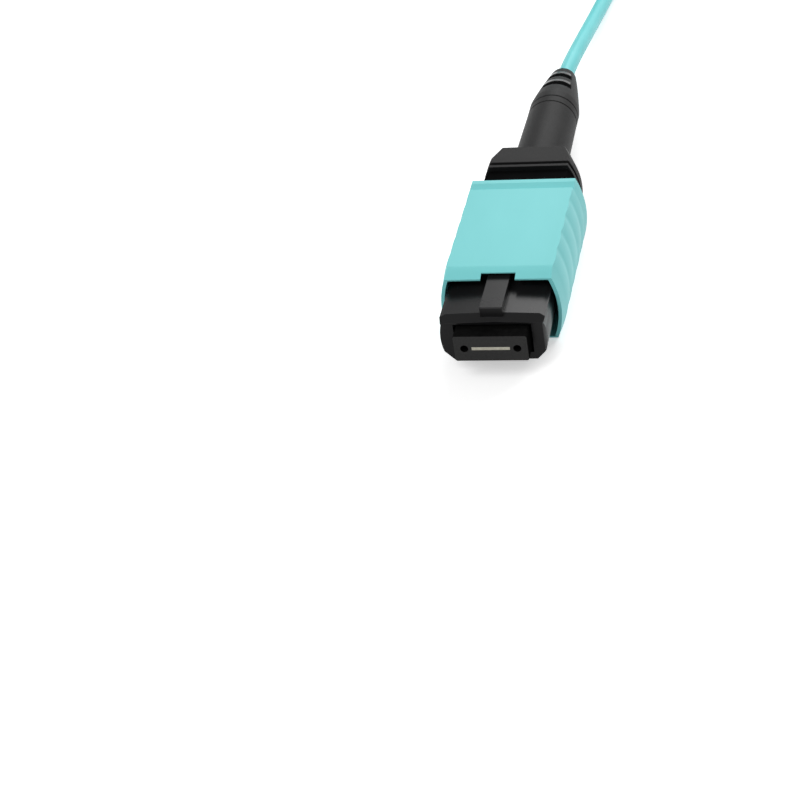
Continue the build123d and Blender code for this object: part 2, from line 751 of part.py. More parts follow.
# Hank: long turns that lie on each other in two columns, lifted by the tie under it
hank_inner_radius = hank_fold_radius - cable_diameter / 2
hank_outer_radius = hank_inner_radius + hank_columns * cable_diameter
hank_x = lead_end_x + cable_diameter / 2 - hank_outer_radius
hank_y = boot_rear + hank_setback + hank_outer_radius + hank_run / 2
turn_length = 2 * hank_run + pi * (hank_inner_radius + hank_outer_radius)
hank_turns = (cable_length - lead_length) / turn_length
hank_height = cable_diameter * (hank_turns / hank_columns + 1)
print("lead length", round(lead_length, 2), "turns in the hank", round(hank_turns, 2))
with BuildPart() as cable_hank:
    with BuildSketch(Plane.XY.offset(hank_bottom)):
        with Locations((hank_x, hank_y)):
            SlotCenterToCenter(hank_run, 2 * hank_outer_radius, rotation=90)
            SlotCenterToCenter(hank_run, 2 * hank_inner_radius, rotation=90, mode=Mode.SUBTRACT)
    extrude(amount=hank_height)
    level_faces = cable_hank.faces().filter_by(Axis.Z)
    fillet(level_faces.edges(), hank_corner)
cable_hank.part.label = "cable_hank"
export_step(cable_hank.part, "parts/cable_hank.step")

# Tie: a band round the middle of the hank
tie_inner_width = 2 * (hank_outer_radius + tie_gap)
tie_inner_height = hank_height + 2 * tie_gap
with BuildPart() as hank_tie:
    with BuildSketch(across(hank_y - tie_width / 2)):
        with Locations((-hank_x, hank_bottom + hank_height / 2)):
            outer_width = tie_inner_width + 2 * tie_thickness
            outer_height = tie_inner_height + 2 * tie_thickness
            RectangleRounded(outer_width, outer_height, tie_corner)
            inner_corner = tie_corner - tie_thickness
            RectangleRounded(tie_inner_width, tie_inner_height, inner_corner, mode=Mode.SUBTRACT)
    extrude(amount=tie_width)
hank_tie.part.label = "hank_tie"
export_step(hank_tie.part, "parts/hank_tie.step")
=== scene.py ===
from math import atan2, cos, hypot, pi, radians, sin, sqrt

import bmesh
import bpy
from mathutils import Matrix, Vector


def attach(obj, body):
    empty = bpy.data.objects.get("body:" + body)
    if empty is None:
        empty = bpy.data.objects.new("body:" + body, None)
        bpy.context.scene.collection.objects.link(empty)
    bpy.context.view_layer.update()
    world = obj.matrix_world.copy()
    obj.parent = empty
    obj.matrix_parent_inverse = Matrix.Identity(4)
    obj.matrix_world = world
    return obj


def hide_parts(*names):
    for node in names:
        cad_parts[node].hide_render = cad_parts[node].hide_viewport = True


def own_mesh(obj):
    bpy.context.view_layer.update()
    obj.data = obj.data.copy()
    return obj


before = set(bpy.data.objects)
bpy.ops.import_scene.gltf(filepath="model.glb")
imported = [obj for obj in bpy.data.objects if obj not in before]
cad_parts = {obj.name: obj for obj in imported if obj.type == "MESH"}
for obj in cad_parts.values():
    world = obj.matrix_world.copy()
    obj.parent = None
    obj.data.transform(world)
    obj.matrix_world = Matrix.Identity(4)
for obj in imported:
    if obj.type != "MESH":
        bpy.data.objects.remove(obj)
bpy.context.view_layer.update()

mm = 0.001
scene = bpy.context.scene
scene.view_settings.view_transform = "Standard"
print("stage: model loaded,", len(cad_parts), "nodes")


# camera
cameraView = {
    "place": (38.3118, -156.8104, 110.178),  # mm
    "right": (0.97206004, 0.18680214, -0.1421416),
    "up": (0.00349406, 0.59396559, 0.80448286),
    "lens": 103.32,
    "sensor": 36.0,
    "clip": (0.005, 20.0),  # m
}


def addCamera(view):
    data = bpy.data.cameras.new("camera")
    data.lens = view["lens"]
    data.sensor_width = view["sensor"]
    data.clip_start, data.clip_end = view["clip"]
    right = Vector(view["right"]).normalized()
    up = Vector(view["up"]).normalized()
    turn = Matrix((right, up, right.cross(up))).transposed()
    camera = bpy.data.objects.new("camera", data)
    camera.matrix_world = Matrix.Translation(Vector(view["place"]) * mm) @ turn.to_4x4()
    scene.collection.objects.link(camera)
    scene.camera = camera


addCamera(cameraView)
print("stage: camera set")


# node helpers for materials
noiseSpan = (0.3, 0.7)  # where most values of a noise texture lie
noiseDetail = {"flow": 4.0, "grain": 2.0, "streak": 3.0, "thread": 2.0, "paper": 3.0}


def startMaterial(name):
    material = bpy.data.materials.new(name)
    material.use_nodes = True
    tree = material.node_tree
    shader = tree.nodes["Principled BSDF"]
    where = tree.nodes.new("ShaderNodeTexCoord")
    return material, tree, shader, where.outputs["Object"]


def addNoise(tree, where, scale, kind, stretch=None):
    noise = tree.nodes.new("ShaderNodeTexNoise")
    noise.inputs["Scale"].default_value = scale
    noise.inputs["Detail"].default_value = noiseDetail[kind]
    if stretch:
        mapping = tree.nodes.new("ShaderNodeMapping")
        mapping.inputs["Scale"].default_value = stretch
        tree.links.new(where, mapping.inputs["Vector"])
        where = mapping.outputs["Vector"]
    tree.links.new(where, noise.inputs["Vector"])
    return noise.outputs["Fac"]


def addRange(tree, value, low, high, span=noiseSpan):
    mapped = tree.nodes.new("ShaderNodeMapRange")
    mapped.inputs["From Min"].default_value, mapped.inputs["From Max"].default_value = span
    mapped.inputs["To Min"].default_value = low
    mapped.inputs["To Max"].default_value = high
    tree.links.new(value, mapped.inputs["Value"])
    return mapped.outputs["Result"]


def addMath(tree, operation, first, second):
    math = tree.nodes.new("ShaderNodeMath")
    math.operation = operation
    tree.links.new(first, math.inputs[0])
    tree.links.new(second, math.inputs[1])
    return math.outputs["Value"]


# the mix node's colour sockets go by number: 6 and 7 in, 2 out
def addMix(tree, factor, first, second):
    mix = tree.nodes.new("ShaderNodeMix")
    mix.data_type = "RGBA"
    tree.links.new(factor, mix.inputs[0])
    mix.inputs[6].default_value = (*first, 1.0)
    mix.inputs[7].default_value = (*second, 1.0)
    return mix.outputs[2]


def addBump(tree, shader, height, strength, distance):
    bump = tree.nodes.new("ShaderNodeBump")
    bump.inputs["Strength"].default_value = strength
    bump.inputs["Distance"].default_value = distance
    tree.links.new(height, bump.inputs["Height"])
    tree.links.new(bump.outputs["Normal"], shader.inputs["Normal"])


# moulded plastic or rubber: faint flow in the colour, uneven gloss, fine spark-eroded grain
def mouldedPlastic(name, finish):
    material, tree, shader, where = startMaterial(name)
    flow = addNoise(tree, where, finish["flowScale"], "flow", finish.get("flowStretch"))
    shade = addMix(tree, addRange(tree, flow, 0.0, 1.0), finish["dark"], finish["light"])
    tree.links.new(shade, shader.inputs["Base Color"])
    grain = addNoise(tree, where, finish["grainScale"], "grain")
    low, high = finish["roughness"]
    tree.links.new(addRange(tree, grain, low, high), shader.inputs["Roughness"])
    shader.inputs["Specular IOR Level"].default_value = finish["specular"]
    addBump(tree, shader, grain, finish["grain"], finish["grainHeight"])
    return material


# drawn or plated metal: streaks along one axis
metalLook = {"bump": 0.15, "bumpHeight": 0.00001}


def drawnMetal(name, finish):
    material, tree, shader, where = startMaterial(name)
    streak = addNoise(tree, where, finish["scale"], "streak", finish["stretch"])
    shade = addMix(tree, addRange(tree, streak, 0.0, 1.0), finish["dark"], finish["light"])
    tree.links.new(shade, shader.inputs["Base Color"])
    low, high = finish["roughness"]
    tree.links.new(addRange(tree, streak, low, high), shader.inputs["Roughness"])
    shader.inputs["Metallic"].default_value = 1.0
    addBump(tree, shader, streak, metalLook["bump"], metalLook["bumpHeight"])
    return material


# fibrous stuff: two crossing sets of threads
threadLook = {"cover": (0.12, 0.42), "roughness": 0.85, "sheen": 0.3, "sheenRoughness": 0.4,
              "bump": 0.6, "bumpHeight": 0.00004}


def threadCloth(name, finish):
    material, tree, shader, where = startMaterial(name)
    along = addNoise(tree, where, finish["scale"], "thread", finish["along"])
    across = addNoise(tree, where, finish["scale"], "thread", finish["across"])
    cover = addRange(tree, addMath(tree, "MULTIPLY", along, across), 0.0, 1.0, threadLook["cover"])
    tree.links.new(addMix(tree, cover, finish["dark"], finish["light"]), shader.inputs["Base Color"])
    shader.inputs["Roughness"].default_value = threadLook["roughness"]
    shader.inputs["Sheen Weight"].default_value = threadLook["sheen"]
    shader.inputs["Sheen Roughness"].default_value = threadLook["sheenRoughness"]
    addBump(tree, shader, cover, threadLook["bump"], threadLook["bumpHeight"])
    return material


finishes = {
    "sleeve": mouldedPlastic("aquaSleevePlastic", {
        "dark": (0.192, 0.614, 0.624), "light": (0.212, 0.656, 0.666),
        "flowScale": 160.0, "flowStretch": (1.0, 0.35, 1.0), "grainScale": 9000.0,
        "roughness": (0.38, 0.46), "specular": 0.14, "grain": 0.10, "grainHeight": 0.00001}),
    "housing": mouldedPlastic("blackHousingPlastic", {
        "dark": (0.0080, 0.0080, 0.0084), "light": (0.0105, 0.0105, 0.0110),
        "flowScale": 220.0, "grainScale": 8000.0,
        "roughness": (0.23, 0.27), "specular": 0.115, "grain": 0.02, "grainHeight": 0.000004}),
    # painted shade: darker than the housing and without gloss, for the recess behind the sleeve
    "neck": mouldedPlastic("neckPaintedShadePlastic", {
        "dark": (0.0040, 0.0040, 0.0042), "light": (0.0060, 0.0060, 0.0062),
        "flowScale": 220.0, "grainScale": 8000.0,
        "roughness": (0.60, 0.70), "specular": 0.0, "grain": 0.05, "grainHeight": 0.00001}),
    "push": mouldedPlastic("satinPushPlastic", {
        "dark": (0.0080, 0.0080, 0.0084), "light": (0.0105, 0.0105, 0.0110),
        "flowScale": 220.0, "grainScale": 8000.0,
        "roughness": (0.44, 0.52), "specular": 0.07, "grain": 0.06, "grainHeight": 0.00001}),
    "ferrule": mouldedPlastic("groundFerruleResin", {
        "dark": (0.014, 0.014, 0.0138), "light": (0.021, 0.021, 0.0206),
        "flowScale": 5200.0, "grainScale": 12000.0,
        "roughness": (0.36, 0.44), "specular": 0.16, "grain": 0.08, "grainHeight": 0.00001}),
    # painted shade: darker and without gloss, for the shadow of the housing's brim on the ferrule's top
    "ferruleSide": mouldedPlastic("ferruleSidePaintedShadeResin", {
        "dark": (0.0040, 0.0040, 0.0040), "light": (0.0065, 0.0065, 0.0064),
        "flowScale": 2600.0, "grainScale": 9000.0,
        "roughness": (0.50, 0.60), "specular": 0.0, "grain": 0.05, "grainHeight": 0.00001}),
    # painted highlight: much lighter than the boot rubber, with a glossier surface, for the bright lines on the
    # slot crests
    "bootCrestHighlight": mouldedPlastic("paintedHighlightBootRubber", {
        "dark": (0.045, 0.045, 0.0455), "light": (0.060, 0.060, 0.0605),
        "flowScale": 240.0, "grainScale": 7000.0,
        "roughness": (0.16, 0.22), "specular": 0.6, "grain": 0.04, "grainHeight": 0.000006}),
    "boot": mouldedPlastic("blackBootRubber", {
        "dark": (0.010, 0.010, 0.0102), "light": (0.014, 0.014, 0.0142),
        "flowScale": 240.0, "grainScale": 7000.0,
        "roughness": (0.46, 0.54), "specular": 0.078, "grain": 0.10, "grainHeight": 0.00001}),
    "jacket": mouldedPlastic("aquaCableJacket", {
        "dark": (0.150, 0.610, 0.630), "light": (0.180, 0.665, 0.685),
        "flowScale": 300.0, "grainScale": 6000.0,
        "roughness": (0.32, 0.44), "specular": 0.18, "grain": 0.10, "grainHeight": 0.00002}),
    "keeper": mouldedPlastic("greyKeeperPlastic", {
        "dark": (0.020, 0.020, 0.022), "light": (0.032, 0.032, 0.034),
        "flowScale": 400.0, "grainScale": 8000.0,
        "roughness": (0.40, 0.52), "specular": 0.5, "grain": 0.1, "grainHeight": 0.00001}),
    "softRubber": mouldedPlastic("ribbonBootRubber", {
        "dark": (0.014, 0.014, 0.014), "light": (0.022, 0.022, 0.022),
        "flowScale": 500.0, "grainScale": 6000.0,
        "roughness": (0.6, 0.75), "specular": 0.4, "grain": 0.2, "grainHeight": 0.00002}),
    "ribbon": mouldedPlastic("coatedFibreRibbon", {
        "dark": (0.42, 0.62, 0.60), "light": (0.74, 0.84, 0.82),
        "flowScale": 900.0, "flowStretch": (3.0, 0.05, 1.0), "grainScale": 5000.0,
        "roughness": (0.22, 0.32), "specular": 0.5, "grain": 0.05, "grainHeight": 0.00001}),
    "adhesive": mouldedPlastic("curedAdhesive", {
        "dark": (0.10, 0.045, 0.012), "light": (0.17, 0.085, 0.026),
        "flowScale": 900.0, "grainScale": 3000.0,
        "roughness": (0.12, 0.2), "specular": 0.5, "grain": 0.04, "grainHeight": 0.00001}),
    "polish": mouldedPlastic("polishedFibreLine", {
        "dark": (0.36, 0.34, 0.27), "light": (0.50, 0.48, 0.39),
        "flowScale": 2600.0, "grainScale": 9000.0,
        "roughness": (0.18, 0.3), "specular": 0.5, "grain": 0.03, "grainHeight": 0.000005}),
    "fibre": mouldedPlastic("fibreGlassEnds", {
        "dark": (0.66, 0.63, 0.54), "light": (0.80, 0.78, 0.70),
        "flowScale": 3000.0, "grainScale": 9000.0,
        "roughness": (0.06, 0.12), "specular": 0.6, "grain": 0.01, "grainHeight": 0.000005}),
    "spring": drawnMetal("drawnSpringSteel", {
        "dark": (0.42, 0.42, 0.43), "light": (0.60, 0.60, 0.61),
        "scale": 2500.0, "stretch": (1.0, 0.4, 1.0), "roughness": (0.22, 0.36)}),
    "crimp": drawnMetal("platedCrimpMetal", {
        "dark": (0.50, 0.48, 0.44), "light": (0.66, 0.64, 0.60),
        "scale": 1500.0, "stretch": (0.15, 2.0, 0.15), "roughness": (0.2, 0.34)}),
    "yarn": threadCloth("strengthYarn", {
        "dark": (0.36, 0.24, 0.04), "light": (0.72, 0.54, 0.14),
        "scale": 5000.0, "along": (1.0, 0.08, 1.0), "across": (0.7, 0.1, 0.7)}),
    "tie": threadCloth("wovenTie", {
        "dark": (0.006, 0.006, 0.007), "light": (0.030, 0.030, 0.033),
        "scale": 3200.0, "along": (1.0, 0.2, 1.0), "across": (0.2, 1.0, 1.0)}),
}
print("stage: finishes mixed,", len(finishes))


# mesh helpers: shapes are made in millimetres and brought to metres at the end
meshTidy = {
    "merge": 0.0005,
    "cadMerge": 0.001,  # corners of the CAD triangles
    "cadFlat": 1.0,  # degrees: CAD triangles that lie flatter than this become one face
    "cadSharp": 28,  # degrees: CAD edges sharper than this are rounded
    "cut": 0.0001,
    "smooth": 32,  # degrees
}


def sharpEdges(bm, angle):
    return [e for e in bm.edges if e.is_manifold and e.calc_face_angle(0.0) > radians(angle)]


def roundEdges(bm, edges, width, segments=2):
    bmesh.ops.bevel(bm, geom=edges, offset=width, offset_type="OFFSET", affect="EDGES", segments=segments,
                    profile=0.5, material=-1, clamp_overlap=True, loop_slide=True)


# corner normals weighed by face area, so that wide faces stay flat beside their rounds
def weighNormals(mesh, smoothAngle):
    limit = cos(radians(smoothAngle))
    around = [[] for _ in mesh.vertices]
    for face in mesh.polygons:
        for vert in face.vertices:
            around[vert].append((face.normal.copy(), face.area))
    normals = []
    for face in mesh.polygons:
        for vert in face.vertices:
            total = Vector((0, 0, 0))
            for normal, area in around[vert]:
                if normal.dot(face.normal) > limit:
                    total += normal * area
            normals.append(total.normalized() if total.length > 0 else face.normal.copy())
    mesh.normals_split_custom_set(normals)


def finishPiece(bm, name, finish, body, nodes=(), smoothAngle=meshTidy["smooth"], outward=True):
    bmesh.ops.remove_doubles(bm, verts=bm.verts, dist=meshTidy["merge"])
    if outward:
        bmesh.ops.recalc_face_normals(bm, faces=bm.faces)
    bmesh.ops.scale(bm, vec=(mm, mm, mm), verts=bm.verts)
    mesh = bpy.data.meshes.new(name)
    bm.to_mesh(mesh)
    bm.free()
    mesh.polygons.foreach_set("use_smooth", [True] * len(mesh.polygons))
    weighNormals(mesh, smoothAngle)
    mesh.materials.append(finishes[finish])
    piece = bpy.data.objects.new(name, mesh)
    scene.collection.objects.link(piece)
    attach(piece, body)
    if nodes:
        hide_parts(*nodes)
    return piece


# a second finish for the faces that a test picks, by centre (mm) and normal
def addFinish(piece, finish, picks):
    piece.data.materials.append(finishes[finish])
    last = len(piece.data.materials) - 1
    for face in piece.data.polygons:
        if picks(face.center / mm, face.normal):
            face.material_index = last
    return piece


# a copy of a CAD node with merged corners and small moulded edge rounds
def roundedCopy(node, name, finish, body, edgeRound=0.0, cutAt=None):
    bm = bmesh.new()
    bm.from_mesh(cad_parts[node].data)
    bmesh.ops.scale(bm, vec=(1 / mm, 1 / mm, 1 / mm), verts=bm.verts)
    bmesh.ops.remove_doubles(bm, verts=bm.verts, dist=meshTidy["cadMerge"])
    if edgeRound:
        bmesh.ops.dissolve_limit(bm, angle_limit=radians(meshTidy["cadFlat"]), verts=bm.verts, edges=bm.edges)
        roundEdges(bm, sharpEdges(bm, meshTidy["cadSharp"]), edgeRound)
    if cutAt:
        bmesh.ops.bisect_plane(bm, geom=bm.verts[:] + bm.edges[:] + bm.faces[:], dist=meshTidy["cut"],
                               plane_co=(0, cutAt, 0), plane_no=(0, 1, 0))
    return finishPiece(bm, name, finish, body, (node,), outward=False)


# free cable: out of the boot, along the surface and into a tied hank
cable = {
    "diameter": 1.6,
    "length": 1000.0,
    "exit": (0.0, 47.4, 0.0),
    "order": 3, "curveSteps": 6, "roundSteps": 6,
    "route": [
        (0.0, 43.4, 0.0), (0.0, 48.4, 0.0), (0.58, 56.8, -0.8), (0.92, 63.6, -1.85), (1.5, 70.5, -2.4),
        (2.1, 77.4, -2.65), (2.4, 82.8, -2.3), (2.4, 86.4, -2.3),
    ],
}
hank = {
    "centre": (-4.0, 101.1),
    "run": 30.0,
    "outer": 6.4,  # fold radius of the outer column
    "inner": 4.8,
    "lowest": -2.3,  # height of the first turn's centre line
    "turns": 10.05,
    "foldPoints": 8,
}


# control points of the turns: up through the outer column, over at the top and down through the inner one
def hankPoints(spec):
    x0, y0 = spec["centre"]
    folds = spec["foldPoints"]
    perTurn = 2 * (folds + 2)
    last = round(spec["turns"] * perTurn)
    swing = 1 / cos(pi / folds / 2)  # the curve runs inside the control points of a fold by this much
    points = []
    for count in range(last + 1):
        side = 1 if count % perTurn < perTurn / 2 else -1
        place = count % (folds + 2)
        radius = spec["outer"] if count <= last / 2 else spec["inner"]
        height = spec["lowest"] + cable["diameter"] * min(count, last - count) / perTurn
        if place < 2:
            along = spec["run"] * (place - 0.5) / 2
            points.append((x0 + side * radius, y0 + side * along, height))
        else:
            angle = pi * (place - 1.5) / folds
            x = x0 + side * swing * radius * cos(angle)
            y = y0 + side * (spec["run"] / 2 + swing * radius * sin(angle))
            points.append((x, y, height))
    return points


def makeCable():
    points = cable["route"] + hankPoints(hank)
    data = bpy.data.curves.new("pigtailCable", "CURVE")
    data.dimensions = "3D"
    line = data.splines.new("NURBS")
    line.points.add(len(points) - 1)
    for point, (x, y, z) in zip(line.points, points):
        point.co = (x * mm, y * mm, z * mm, 1.0)
    line.order_u = cable["order"]
    line.use_endpoint_u = True
    line.resolution_u = cable["curveSteps"]
    data.bevel_depth = cable["diameter"] / 2 * mm
    data.bevel_resolution = cable["roundSteps"]
    data.use_fill_caps = True
    data.materials.append(finishes["jacket"])
    piece = bpy.data.objects.new("pigtailCable", data)
    scene.collection.objects.link(piece)
    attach(piece, "connector")
    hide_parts("cable_lead", "cable_hank")
    return piece


pigtail = makeCable()
print("stage: cable laid")


# floor, backdrop and light
studio = {
    "floorHeight": -3.45,
    "floorSize": 3.0,  # m
    "floorColour": (0.90, 0.90, 0.90),
    "floorShade": 0.995, "floorScale": 40.0, "floorRoughness": 0.9,
    "lift": (0.5, 0.8),  # what the floor adds where it is seen, so that it reads as white: near, far
    "liftReach": (0.3, 0.9),  # m
    "world": 0.27,
}


# 1 where the camera sees the backdrop itself, in a reflection or through glass, and 0 where it only lights
def addSeen(tree):
    rays = tree.nodes.new("ShaderNodeLightPath")
    seen = rays.outputs["Is Camera Ray"]
    for kind in ("Is Glossy Ray", "Is Transmission Ray"):
        seen = addMath(tree, "MAXIMUM", seen, rays.outputs[kind])
    return seen


def addFloor(spec):
    material, tree, shader, where = startMaterial("paperFloor")
    paper = addNoise(tree, where, spec["floorScale"], "paper")
    pale = spec["floorColour"]
    shaded = tuple(c * spec["floorShade"] for c in pale)
    tree.links.new(addMix(tree, paper, pale, shaded), shader.inputs["Base Color"])
    shader.inputs["Roughness"].default_value = spec["floorRoughness"]
    shader.inputs["Specular IOR Level"].default_value = 0.0
    away = tree.nodes.new("ShaderNodeVectorMath")
    away.operation = "LENGTH"
    tree.links.new(where, away.inputs[0])
    reach = addRange(tree, away.outputs["Value"], *spec["lift"], spec["liftReach"])
    shader.inputs["Emission Color"].default_value = (1, 1, 1, 1)
    tree.links.new(addMath(tree, "MULTIPLY", addSeen(tree), reach), shader.inputs["Emission Strength"])
    bm = bmesh.new()
    bmesh.ops.create_grid(bm, x_segments=1, y_segments=1, size=spec["floorSize"] / 2)
    bmesh.ops.translate(bm, vec=(0, 0, spec["floorHeight"] * mm), verts=bm.verts)
    mesh = bpy.data.meshes.new("floor")
    bm.to_mesh(mesh)
    bm.free()
    mesh.materials.append(material)
    floor = bpy.data.objects.new("floor", mesh)
    scene.collection.objects.link(floor)


def addWorld(spec):
    world = bpy.data.worlds.new("studio")
    world.use_nodes = True
    scene.world = world
    tree = world.node_tree
    back = tree.nodes["Background"]
    back.inputs["Color"].default_value = (1, 1, 1, 1)
    strength = tree.nodes.new("ShaderNodeMapRange")
    strength.inputs["To Min"].default_value = spec["world"]
    strength.inputs["To Max"].default_value = 1.0
    tree.links.new(addSeen(tree), strength.inputs["Value"])
    tree.links.new(strength.outputs["Result"], back.inputs["Strength"])


lamps = [
    # name, place (m), aim (m), size (m), power (W)
    ("backPanel", (0.225, 0.60, 0.47), (0.0, 0.02, 0.0), (0.8, 0.40), 5.2),
    ("frontKey", (-0.26, -0.40, 0.60), (0.0, 0.02, 0.0), (0.5, 0.5), 2.7),
]


def addLamp(name, place, aim, size, power):
    data = bpy.data.lights.new(name, "AREA")
    data.shape = "RECTANGLE"
    data.size, data.size_y = size
    data.energy = power
    lamp = bpy.data.objects.new(name, data)
    lamp.location = place
    lamp.rotation_euler = (Vector(aim) - Vector(place)).to_track_quat("-Z", "Y").to_euler()
    scene.collection.objects.link(lamp)


addFloor(studio)
addWorld(studio)
for lamp in lamps:
    addLamp(*lamp)
print("stage: floor and light set")


# extrudes a closed loop of vertices to its next points, and gives the new loop in the same order
def extrudeLoop(bm, loop, points):
    ring = [bm.edges.get(pair) for pair in zip(loop, loop[1:] + loop[:1])]
    made = set(bmesh.ops.extrude_edge_only(bm, edges=ring)["geom"])
    copies = [next(e.other_vert(v) for e in v.link_edges if e.other_vert(v) in made) for v in loop]
    for vert, point in zip(copies, points):
        vert.co = point
    return copies


# a walled tube: one loop goes back along the outside and comes forward along the inside;
# both have the same points, and the open cells are cut out and walled
def addShell(bm, outside, inside, isOpen):
    rows, count = len(outside), len(outside[0])
    loops = [[bm.verts.new(point) for point in outside[0]]]
    for before, after in zip(loops[0], loops[0][1:] + loops[0][:1]):
        bm.edges.new((before, after))
    for points in outside[1:] + inside[::-1]:
        loops.append(extrudeLoop(bm, loops[-1], points))
    closing = extrudeLoop(bm, loops[-1], outside[0])
    bmesh.ops.weld_verts(bm, targetmap=dict(zip(closing, loops[0])))
    outer, inner = loops[:rows], loops[:rows - 1:-1]
    opened = []
    for row in range(rows - 1):
        for at in (at for at in range(count) if isOpen(row, at)):
            after = (at + 1) % count
            for side in (outer, inner):
                near, far = side[row], side[row + 1]
                opened.append(bm.faces.get((near[at], near[after], far[after], far[at])))
            if row == 0:
                opened.append(bm.faces.get((outer[0][at], outer[0][after], inner[0][after], inner[0][at])))
    if opened:
        facing = {a: b for outerLoop, innerLoop in zip(outer, inner) for a, b in zip(outerLoop, innerLoop)}
        bmesh.ops.delete(bm, geom=opened, context="FACES")
        for rim in [e for e in bm.edges if e.is_boundary and all(v in facing for v in e.verts)]:
            bmesh.ops.bridge_loops(bm, edges=[rim, bm.edges.get([facing[v] for v in rim.verts])])
    return outer


def addBox(bm, low, high):
    size = [b - a for a, b in zip(low, high)]
    middle = [(a + b) / 2 for a, b in zip(low, high)]
    place = Matrix.Translation(middle) @ Matrix.Diagonal((*size, 1))
    return bmesh.ops.create_cube(bm, size=1.0, matrix=place)["verts"]


# flat top and bottom with bowed sides: points run clockwise from the top's left corner, seen from the plug
def bowedLoop(topHalf, midHalf, halfHeight, tops, sides):
    sag = midHalf - topHalf
    radius = (halfHeight**2 + sag**2) / (2 * sag)
    swing = atan2(halfHeight, radius - sag)
    half = [(x * topHalf, halfHeight) for x in tops]
    for step in range(1, sides):
        angle = swing * (1 - 2 * step / sides)
        half.append((midHalf - radius + radius * cos(angle), radius * sin(angle)))
    return half + [(-x, -z) for x, z in half]


# coupling sleeve: bowed section, five lobes on each side, bevelled front and a groove before the rear lip
sleeve = {
    "front": 6.0, "rear": 22.0, "halfHeight": 3.45, "topHalf": 4.78, "midHalf": 5.5,
    "bevelLength": 1.4, "bevelDrop": 0.35, "sideBevel": 0.1,
    "lobes": 5, "lobeDepth": 0.1, "lobeRear": 21.1, "lobeSteps": 10,
    "groove": (20.4, 20.5), "grooveDepth": 0.3, "grooveRamp": 0.95, "grooveInset": 0.7, "grooveMargin": 0.02,
    "boreTop": 4.43, "boreMid": 5.0, "boreHalf": 2.95,
    "notchHalf": 1.525, "notchRear": 6.75, "notchLip": 0.1,
    "rib": (3.95, 12.02, 0.475, 0.9), "ribSink": 0.2,  # rib: inner x, front, half height, length
    "edge": 0.07, "edgeSegments": 2, "corner": 0.36, "cornerSegments": 6,
    "sidePoints": 24, "sharp": 34, "smooth": 16,
}


# stations along the sleeve: y, half height, and how far the side lies inside the crest of a lobe
def sleeveStations(spec):
    lobeFront = spec["front"] + spec["bevelLength"]
    depth = spec["lobeDepth"]
    pitch = (spec["lobeRear"] - lobeFront) / spec["lobes"]
    high = spec["halfHeight"]
    notchShare = (spec["notchRear"] - spec["front"]) / spec["bevelLength"]
    low = high - spec["bevelDrop"]
    stations = [
        (spec["front"], low, depth + spec["sideBevel"]),
        (spec["notchRear"], low + notchShare * spec["bevelDrop"], depth + spec["sideBevel"] * (1 - notchShare)),
    ]
    radius = (pitch**2 / 4 + depth**2) / (2 * depth)
    grooveFront, grooveRear = spec["groove"]
    for lobe in range(spec["lobes"]):
        for step in range(spec["lobeSteps"]):
            along = pitch * (step / spec["lobeSteps"] - 0.5)
            inset = radius - sqrt(radius**2 - along**2)
            y = lobeFront + (lobe + 0.5) * pitch + along
            if y < grooveFront - spec["grooveMargin"]:
                stations.append((y, high, inset))
    stations += [
        (grooveFront, high, depth * spec["grooveInset"]),
        (grooveFront, high - spec["grooveDepth"], depth * spec["grooveInset"]),
        (grooveRear, high - spec["grooveDepth"], depth),
        (grooveRear + spec["grooveRamp"], high, 0.0),
        (spec["rear"], high, 0.0),
    ]
    return stations


def makeSleeve(spec):
    bm = bmesh.new()

    def notchedTops(topHalf):
        notch = spec["notchHalf"] / topHalf
        right = [notch / 3, notch, (notch + 1) / 2, 1.0]
        return [-x for x in reversed(right)] + right

    notchPoints = range(2, 6)  # of the points along the top, from one side of the notch to the other
    outside, inside = [], []
    sag = spec["midHalf"] - spec["topHalf"]
    radius = (spec["halfHeight"]**2 + sag**2) / (2 * sag)
    boreTops = notchedTops(spec["boreTop"])
    bore = bowedLoop(spec["boreTop"], spec["boreMid"], spec["boreHalf"], boreTops, spec["sidePoints"])
    for y, high, inset in sleeveStations(spec):
        reach = radius - inset
        mid = spec["midHalf"] - inset
        top = mid - reach + sqrt(reach**2 - high**2)
        outline = bowedLoop(top, mid, high, notchedTops(top), spec["sidePoints"])
        outside.append([(x, y, z) for x, z in outline])
        bored = [(x, y, z) for x, z in bore]
        if y == spec["notchRear"]:
            for at in notchPoints:
                bored[at] = (bored[at][0], y, high - spec["notchLip"])
        inside.append(bored)
    outer = addShell(bm, outside, inside, lambda row, at: row == 0 and at in notchPoints[:-1])
    opposite, topEnd = len(outside[0]) // 2, len(boreTops) - 1
    lines = []
    for before, after in zip(outer, outer[1:]):
        for at in (0, topEnd, opposite, opposite + topEnd):
            lines.append(bm.edges.get((before[at], after[at])))
    bmesh.ops.recalc_face_normals(bm, faces=bm.faces)
    edges = [e for e in sharpEdges(bm, spec["sharp"]) if e not in lines]
    roundEdges(bm, lines, spec["corner"], spec["cornerSegments"])
    roundEdges(bm, [e for e in edges if e.is_valid], spec["edge"], spec["edgeSegments"])
    ribX, ribFront, ribHalf, ribLength = spec["rib"]
    for side in (-1, 1):
        ends = sorted((side * ribX, side * (spec["boreMid"] + spec["ribSink"])))
        addBox(bm, (ends[0], ribFront, -ribHalf), (ends[1], ribFront + ribLength, ribHalf))
    return finishPiece(bm, "couplingSleeve", "sleeve", "sleeve", ("coupling_sleeve",),
                       spec["smooth"])


makeSleeve(sleeve)
print("stage: sleeve made")


